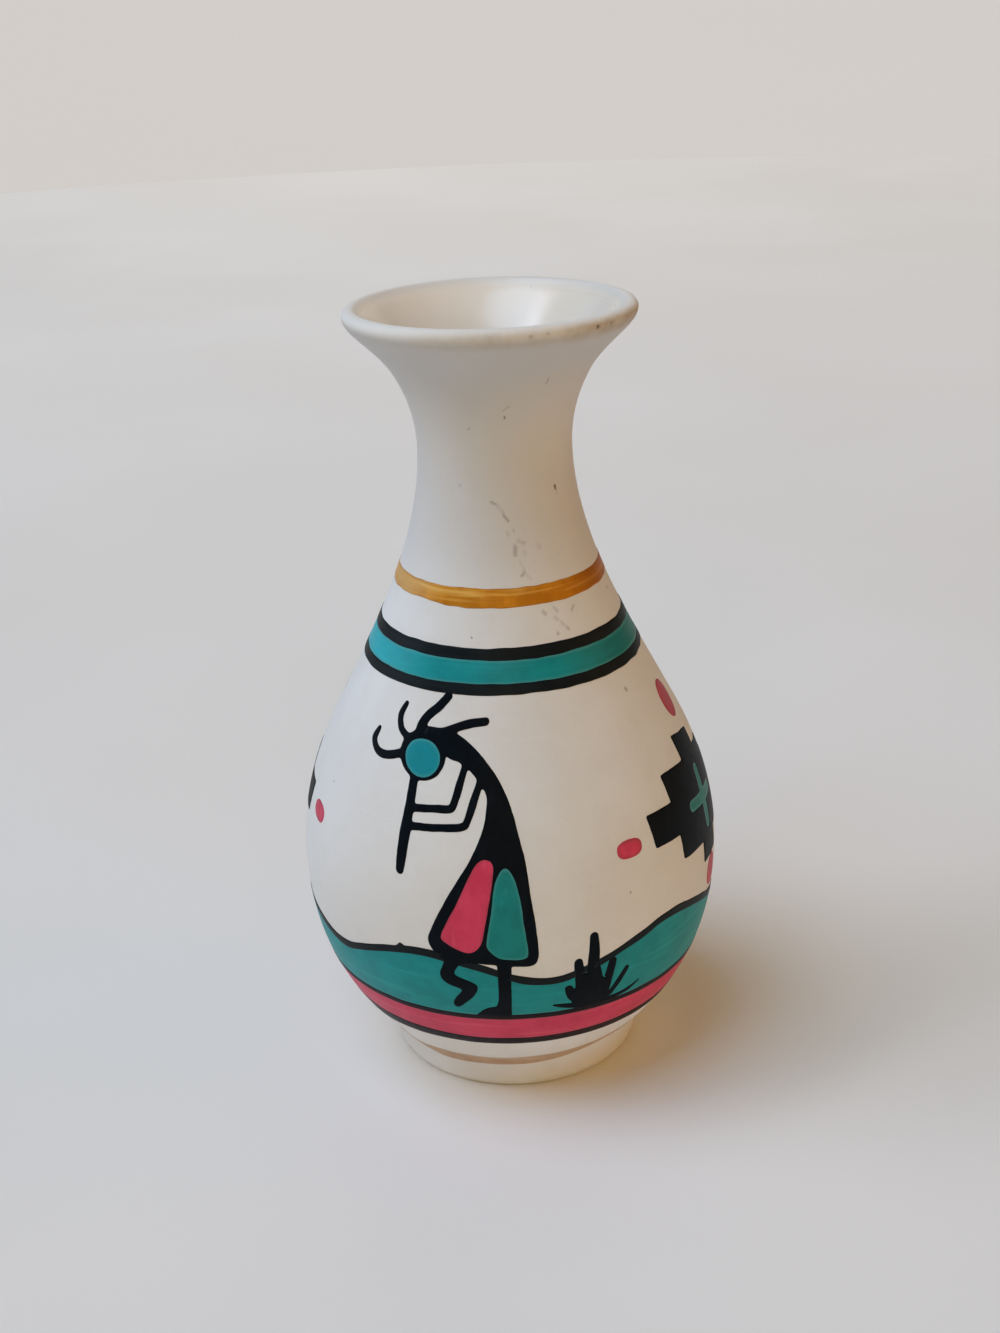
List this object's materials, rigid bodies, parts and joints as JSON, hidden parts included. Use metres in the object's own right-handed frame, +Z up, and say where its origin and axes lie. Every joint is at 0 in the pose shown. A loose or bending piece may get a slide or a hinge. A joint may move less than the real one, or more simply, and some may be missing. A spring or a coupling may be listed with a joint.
{
  "type": "bud vase",
  "caption": "Slender-necked ceramic bud vase with a round belly, flared rim and low foot, glazed inside and hand painted outside with bands, hills, flute players and stepped diamonds.",
  "frame": {"origin": "centre of the face the vase stands on, on the vase's axis", "axes": "+Z up along the vase's axis, from the foot to the mouth; the front, with the first flute player, faces -Y; +X is to the right seen from the front"},
  "size_m": [0.082, 0.0822, 0.1524],
  "materials": {
    "clay": "matte",
    "glaze": "gloss",
    "black_paint": "satin",
    "teal_paint": "satin",
    "pink_paint": "satin",
    "gold_paint": "satin",
    "tan_paint": "satin"
  },
  "bodies": {
    "root": {"vase_body": "clay", "inner_glaze": "glaze", "neck_band": "gold_paint", "shoulder_fill": "teal_paint", "shoulder_lines": "black_paint", "player_black": "black_paint", "player_teal": "teal_paint", "player_pink": "pink_paint", "diamond_black": "black_paint", "diamond_cross": "teal_paint", "pink_dots": "pink_paint", "hill_fill": "teal_paint", "hill_line": "black_paint", "desert_plant": "black_paint", "base_fill": "pink_paint", "base_lines": "black_paint", "foot_line": "tan_paint"}
  },
  "joints": []
}
